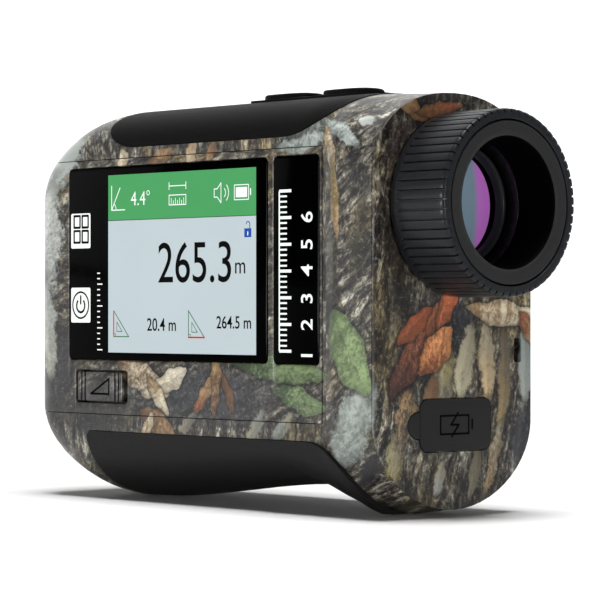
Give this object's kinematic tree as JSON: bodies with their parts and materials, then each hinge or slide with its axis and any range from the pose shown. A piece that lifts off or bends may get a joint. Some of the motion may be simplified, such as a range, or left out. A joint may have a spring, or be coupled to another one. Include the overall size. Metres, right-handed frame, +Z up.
{
  "type": "laser rangefinder",
  "caption": "Pocket laser rangefinder with a side touch display, soft grip pads, a turning ribbed eyepiece, push buttons, a sliding switch and a rubber socket cover.",
  "frame": {"origin": "bottom centre of the whole object's box, on the surface it rests on", "axes": "+X points from the front lenses to the eyepiece, -Y is the display side, +Z is up"},
  "size_m": [0.108, 0.0362, 0.0713],
  "materials": {
    "camo_shell": "satin camouflage film over moulded plastic",
    "gloss_black": "gloss",
    "soft_grip": "matte",
    "display": "lit display",
    "black_plastic": "satin",
    "coated_glass": "coated",
    "lens_tube": "black anodised",
    "steel": "plain",
    "circuit_board": "solder mask",
    "flex_film": "polyimide film",
    "battery_wrap": "shrink wrap"
  },
  "bodies": {
    "housing": {"main_shell": "camo_shell", "screen_side_cover": "camo_shell", "far_side_cover": "camo_shell", "rear_cap": "camo_shell", "front_bezel": "gloss_black", "touch_glass": "gloss_black", "side_label_plate": "gloss_black", "top_grip_pad": "soft_grip", "bottom_grip_pad": "soft_grip", "barrel_gasket": "soft_grip", "display_module": "display", "objective_retainer": "black_plastic", "laser_retainer": "black_plastic", "optical_chassis": "black_plastic", "slope_switch_body": "black_plastic", "buzzer": "black_plastic", "objective_lens": "coated_glass", "laser_lens": "coated_glass", "field_lens": "coated_glass", "reticle_glass": "coated_glass", "prism_block": "coated_glass", "objective_tube": "lens_tube", "laser_tube": "lens_tube", "eyepiece_barrel": "lens_tube", "laser_diode": "steel", "receiver_photodiode": "steel", "measure_switch": "steel", "mode_switch": "steel", "usb_socket": "steel", "board_screw_1": "steel", "board_screw_2": "steel", "button_board_screw_1": "steel", "button_board_screw_2": "steel", "main_board": "circuit_board", "button_board": "circuit_board", "laser_board": "circuit_board", "receiver_board": "circuit_board", "usb_board": "circuit_board", "display_flex": "flex_film", "battery": "battery_wrap"},
    "dioptre_ring": {"dioptre_ring": "black_plastic", "eyecup": "soft_grip"},
    "ocular": {"ocular_cell": "black_plastic", "ocular_lens": "coated_glass", "ocular_retaining_ring": "black_plastic"},
    "measure_button": {"measure_button": "soft_grip"},
    "mode_button": {"mode_button": "soft_grip"},
    "slope_slider": {"slope_slider": "camo_shell"},
    "usb_cover": {"usb_cover": "soft_grip"}
  },
  "joints": [
    {"name": "dioptre_turn", "type": "hinge", "parent": "housing", "child": "dioptre_ring", "pos_m": [0.048, 0, 0.051], "axis": [1, 0, 0], "range_deg": [-135, 135]},
    {"name": "ocular_slide", "type": "slide", "parent": "housing", "child": "ocular", "axis": [1, 0, 0], "range_m": [-0.0007, 0.0007]},
    {"name": "measure_press", "type": "slide", "parent": "housing", "child": "measure_button", "axis": [0, 0, -1], "range_m": [0, 0.0007], "stiffness_N_per_m": 400, "springref_m": -0.0006},
    {"name": "mode_press", "type": "slide", "parent": "housing", "child": "mode_button", "axis": [0, 0, -1], "range_m": [0, 0.0007], "stiffness_N_per_m": 400, "springref_m": -0.0006},
    {"name": "slope_slide", "type": "slide", "parent": "housing", "child": "slope_slider", "axis": [1, 0, 0], "range_m": [0, 0.0012]},
    {"name": "usb_cover_hinge", "type": "hinge", "parent": "housing", "child": "usb_cover", "pos_m": [0.04135, 0.00845, 0.01495], "axis": [0, 0, 1], "range_deg": [0, 100]}
  ],
  "couplings": [
    {"joint": "ocular_slide", "follows": "dioptre_turn", "m_per_rad": 0.00029}
  ]
}
